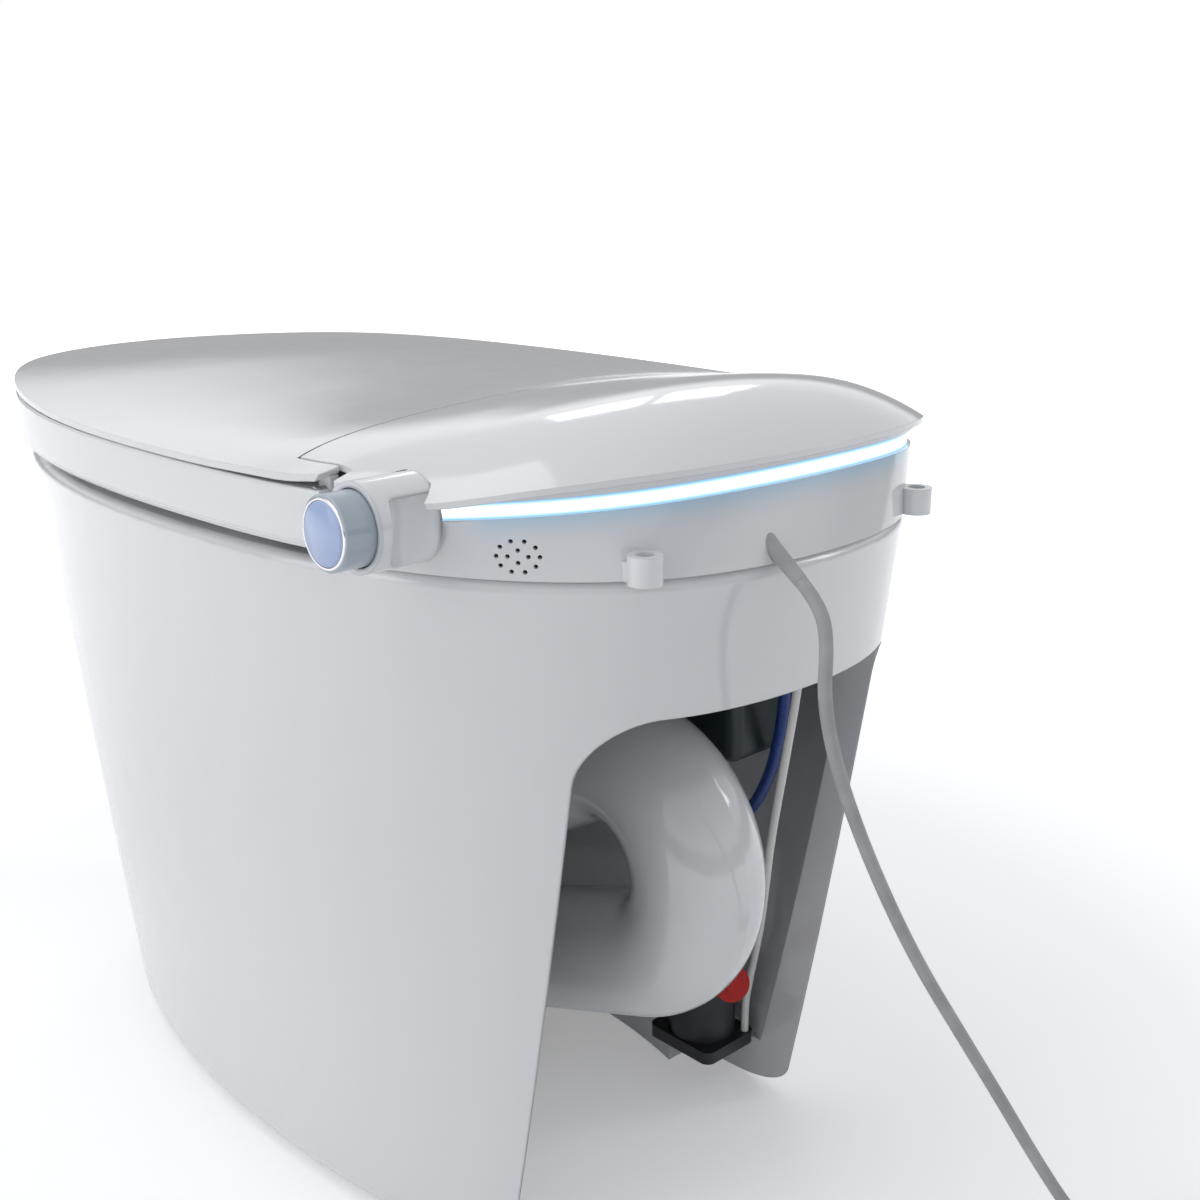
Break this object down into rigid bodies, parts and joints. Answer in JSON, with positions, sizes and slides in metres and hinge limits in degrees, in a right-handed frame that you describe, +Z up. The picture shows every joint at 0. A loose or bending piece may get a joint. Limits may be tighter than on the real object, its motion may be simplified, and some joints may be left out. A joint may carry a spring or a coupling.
{
  "type": "floor-standing smart toilet with heated seat",
  "caption": "One-piece floor-standing smart toilet with a heated seat, soft-close lid, glowing light strip, side control knob, wash wands and an open back with a serpentine trapway.",
  "frame": {"origin": "centre of the waste outlet in the plane of the floor", "axes": "+Z up; +Y from the front of the bowl to the wall behind, along the longest extent; +X to the seated user's left, the side of the knob"},
  "size_m": [0.4205, 0.9167, 0.4629],
  "materials": {
    "ceramic": "gloss white vitreous glaze",
    "white_gloss": "gloss white moulded plastic",
    "grey_plastic": "matt grey moulded plastic",
    "black_plastic": "matt black moulded plastic",
    "light_strip": "clear diffusing plastic, lit from behind",
    "circuit": "green laminate with parts",
    "chrome": "bright plated",
    "film_face": "clear face under a light blue protective film",
    "steel": "ground steel shaft",
    "foil": "heating foil",
    "soft_rubber": "light grey rubber",
    "black_rubber": "black rubber",
    "blue_tube": "dark blue tube",
    "white_tube": "white tube",
    "red_plastic": "gloss red plastic",
    "brass": "machined brass",
    "cord_grey": "mid grey flexible jacket",
    "tank_plastic": "dark blow-moulded tank"
  },
  "bodies": {
    "base": {"ceramic_pan": "ceramic", "outlet_seal": "black_rubber", "lid_damper": "black_plastic", "seat_damper": "black_plastic", "housing_base": "white_gloss", "top_cover": "white_gloss", "led_light_guide": "light_strip", "led_board": "circuit", "knob_encoder": "black_plastic", "rear_wand_motor": "steel", "front_wand_motor": "steel", "nozzle_housing": "white_gloss", "dryer_duct": "black_plastic", "dryer_blower_case": "black_plastic", "speaker": "black_plastic", "water_heater": "steel", "solenoid_valve": "black_plastic", "control_board": "circuit", "power_supply": "grey_plastic", "deck_gasket": "black_rubber", "flush_pump": "black_plastic", "pump_cap": "red_plastic", "reservoir": "tank_plastic", "inlet_fitting": "brass", "blue_hose": "blue_tube", "white_hose": "white_tube", "cord_gland": "cord_grey", "power_cord": "cord_grey", "cord_coil": "cord_grey", "mains_plug": "black_plastic"},
    "seat": {"seat_shell": "white_gloss", "seat_base": "white_gloss", "seat_heater": "foil", "seat_bumpers": "soft_rubber", "seat_drive_shaft": "steel"},
    "lid": {"lid_panel": "white_gloss", "lid_bumpers": "soft_rubber", "lid_drive_shaft": "steel"},
    "knob": {"knob_ring": "grey_plastic", "knob_bezel": "chrome"},
    "button": {"knob_button": "film_face"},
    "rear_wand": {"rear_wash_wand": "white_gloss"},
    "front_wand": {"front_wash_wand": "white_gloss"},
    "rear_pinion": {"rear_wand_pinion": "grey_plastic"},
    "front_pinion": {"front_wand_pinion": "grey_plastic"},
    "flap": {"dryer_flap": "white_gloss"},
    "impeller": {"dryer_impeller": "grey_plastic"}
  },
  "joints": [
    {"name": "seat_hinge", "type": "hinge", "parent": "base", "child": "seat", "pos_m": [0, 0.156, 0.424], "axis": [1, 0, 0], "range_deg": [-90, 0]},
    {"name": "lid_hinge", "type": "hinge", "parent": "seat", "child": "lid", "pos_m": [0, 0.156, 0.424], "axis": [-1, 0, 0], "range_deg": [0, 90]},
    {"name": "knob_turn", "type": "hinge", "parent": "base", "child": "knob", "pos_m": [0.19, 0.194, 0.416], "axis": [1, 0, 0], "continuous": true},
    {"name": "button_press", "type": "slide", "parent": "knob", "child": "button", "axis": [-1, 0, 0], "range_m": [0, 0.0015], "stiffness_N_per_m": 900},
    {"name": "rear_wand_slide", "type": "slide", "parent": "base", "child": "rear_wand", "axis": [0, -0.9744, -0.225], "range_m": [0, 0.068]},
    {"name": "front_wand_slide", "type": "slide", "parent": "base", "child": "front_wand", "axis": [0, -0.9744, -0.225], "range_m": [0, 0.068]},
    {"name": "rear_pinion_turn", "type": "hinge", "parent": "base", "child": "rear_pinion", "pos_m": [0.016, 0.09672, 0.40409], "axis": [1, 0, 0], "range_deg": [-2, 652]},
    {"name": "front_pinion_turn", "type": "hinge", "parent": "base", "child": "front_pinion", "pos_m": [-0.016, 0.09672, 0.40409], "axis": [1, 0, 0], "range_deg": [-2, 652]},
    {"name": "dryer_flap_hinge", "type": "hinge", "parent": "base", "child": "flap", "pos_m": [0.0525, 0.0237, 0.4058], "axis": [-1, 0, 0], "range_deg": [0, 60]},
    {"name": "dryer_fan", "type": "hinge", "parent": "base", "child": "impeller", "pos_m": [0.088, 0.205, 0.4], "axis": [0, 0, 1], "continuous": true}
  ],
  "couplings": [
    {"joint": "rear_pinion_turn", "follows": "rear_wand_slide", "rad_per_m": 166.67},
    {"joint": "front_pinion_turn", "follows": "front_wand_slide", "rad_per_m": 166.67}
  ]
}
